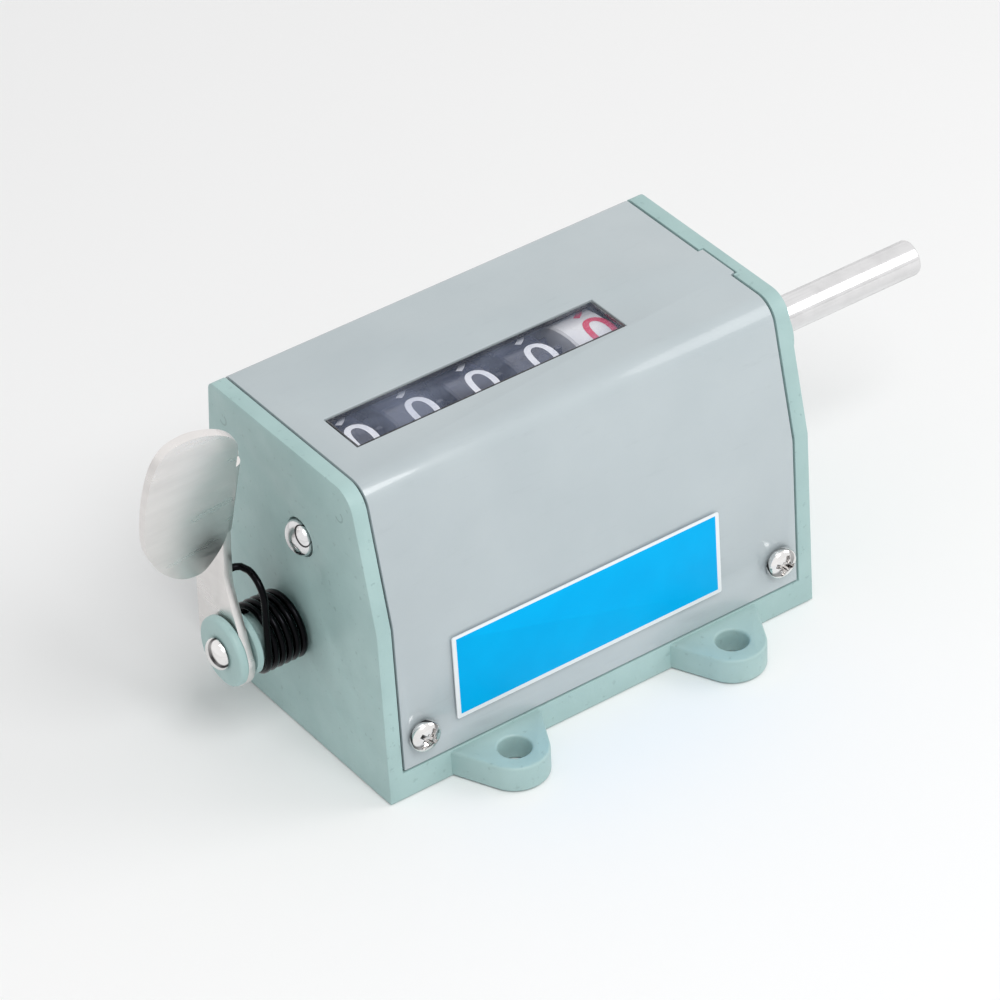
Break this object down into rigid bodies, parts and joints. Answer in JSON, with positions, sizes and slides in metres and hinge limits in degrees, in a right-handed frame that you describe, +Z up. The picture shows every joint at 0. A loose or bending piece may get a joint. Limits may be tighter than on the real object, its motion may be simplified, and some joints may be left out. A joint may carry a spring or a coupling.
{
  "type": "mechanical stroke counter",
  "caption": "Mechanical counter: grey cover over number wheels, reset lever with return spring on one end and a drive rod out of the other, on a cast frame with fixing ears.",
  "frame": {"origin": "centre of the frame's underside", "axes": "+X along the drive rod, away from the reset lever; +Y to the rear, away from the label; +Z up"},
  "size_m": [0.1503, 0.0698, 0.0722],
  "materials": {
    "casting": "smooth grey-green paint on a casting",
    "cover_paint": "smooth light grey paint on sheet",
    "clear": "clear window",
    "label": "blue plate with a white border, no text",
    "nickel": "nickel plate, a little brushed",
    "steel": "bright turned steel",
    "black_steel": "blackened",
    "brass": "cut brass",
    "bronze": "sintered bronze bush",
    "zinc": "zinc plated sheet",
    "wheel_plastic": "black with white numbers",
    "units_plastic": "white with red numbers"
  },
  "bodies": {
    "housing": {"frame_casting": "casting", "cover": "cover_paint", "window_lens": "clear", "label_plate": "label", "cover_screw_front_left": "nickel", "cover_screw_front_right": "nickel", "cover_screw_rear_left": "nickel", "cover_screw_rear_right": "nickel", "bearing_bracket": "zinc", "bracket_screw_front": "nickel", "bracket_screw_rear": "nickel", "right_bush": "bronze", "spring_anchor_pin": "nickel", "reset_spring": "black_steel"},
    "shaft": {"drive_shaft": "steel", "drive_pinion": "brass", "drive_pinion_pin": "steel", "shaft_collar": "steel", "collar_grub_screw": "black_steel", "left_shaft_ring": "steel"},
    "counter": {"counter_gear": "brass"},
    "units": {"number_wheel_units": "units_plastic", "units_drive_gear": "brass", "clutch_spring_washer": "steel"},
    "tens": {"number_wheel_tens": "wheel_plastic"},
    "hundreds": {"number_wheel_hundreds": "wheel_plastic"},
    "thousands": {"number_wheel_thousands": "wheel_plastic"},
    "ten_thousands": {"number_wheel_ten_thousands": "wheel_plastic"},
    "reset": {"reset_shaft": "nickel", "reset_lever": "nickel", "lever_hub": "casting", "lever_disc": "casting", "reset_finger_units": "steel", "reset_finger_tens": "steel", "reset_finger_hundreds": "steel", "reset_finger_thousands": "steel", "reset_finger_ten_thousands": "steel", "bail_arm_left": "steel", "bail_arm_right": "steel", "transfer_pinion_rod": "steel"},
    "pinion_tens": {"transfer_pinion_tens": "brass"},
    "pinion_hundreds": {"transfer_pinion_hundreds": "brass"},
    "pinion_thousands": {"transfer_pinion_thousands": "brass"},
    "pinion_ten_thousands": {"transfer_pinion_ten_thousands": "brass"}
  },
  "joints": [
    {"name": "drive", "type": "hinge", "parent": "housing", "child": "shaft", "pos_m": [0, -0.003, 0.0405], "axis": [-1, 0, 0], "continuous": true},
    {"name": "counter_turn", "type": "hinge", "parent": "housing", "child": "counter", "pos_m": [0, 0.0087, 0.02887], "axis": [-1, 0, 0], "continuous": true},
    {"name": "units_turn", "type": "hinge", "parent": "housing", "child": "units", "pos_m": [0, -0.003, 0.0405], "axis": [-1, 0, 0], "continuous": true},
    {"name": "tens_turn", "type": "hinge", "parent": "housing", "child": "tens", "pos_m": [0, -0.003, 0.0405], "axis": [-1, 0, 0], "continuous": true},
    {"name": "hundreds_turn", "type": "hinge", "parent": "housing", "child": "hundreds", "pos_m": [0, -0.003, 0.0405], "axis": [-1, 0, 0], "continuous": true},
    {"name": "thousands_turn", "type": "hinge", "parent": "housing", "child": "thousands", "pos_m": [0, -0.003, 0.0405], "axis": [-1, 0, 0], "continuous": true},
    {"name": "ten_thousands_turn", "type": "hinge", "parent": "housing", "child": "ten_thousands", "pos_m": [0, -0.003, 0.0405], "axis": [-1, 0, 0], "continuous": true},
    {"name": "reset", "type": "hinge", "parent": "housing", "child": "reset", "pos_m": [0, 0.0014, 0.0215], "axis": [1, 0, 0], "range_deg": [0, 40], "stiffness_Nm_per_rad": 0.03, "springref_deg": -28.65, "deforming": ["reset_spring"]},
    {"name": "pinion_tens_turn", "type": "hinge", "parent": "reset", "child": "pinion_tens", "pos_m": [0, -0.0135, 0.0265], "axis": [-1, 0, 0], "continuous": true},
    {"name": "pinion_hundreds_turn", "type": "hinge", "parent": "reset", "child": "pinion_hundreds", "pos_m": [0, -0.0135, 0.0265], "axis": [-1, 0, 0], "continuous": true},
    {"name": "pinion_thousands_turn", "type": "hinge", "parent": "reset", "child": "pinion_thousands", "pos_m": [0, -0.0135, 0.0265], "axis": [-1, 0, 0], "continuous": true},
    {"name": "pinion_ten_thousands_turn", "type": "hinge", "parent": "reset", "child": "pinion_ten_thousands", "pos_m": [0, -0.0135, 0.0265], "axis": [-1, 0, 0], "continuous": true}
  ],
  "couplings": [
    {"joint": "counter_turn", "follows": "drive", "ratio": -0.4},
    {"joint": "units_turn", "follows": "drive", "ratio": 0.1},
    {"joint": "tens_turn", "follows": "drive", "ratio": 0.01},
    {"joint": "hundreds_turn", "follows": "drive", "ratio": 0.001},
    {"joint": "thousands_turn", "follows": "drive", "ratio": 0.0001},
    {"joint": "ten_thousands_turn", "follows": "drive", "ratio": 0.00001},
    {"joint": "pinion_tens_turn", "follows": "drive", "ratio": -0.025},
    {"joint": "pinion_hundreds_turn", "follows": "drive", "ratio": -0.0025},
    {"joint": "pinion_thousands_turn", "follows": "drive", "ratio": -0.00025},
    {"joint": "pinion_ten_thousands_turn", "follows": "drive", "ratio": -0.000025}
  ]
}
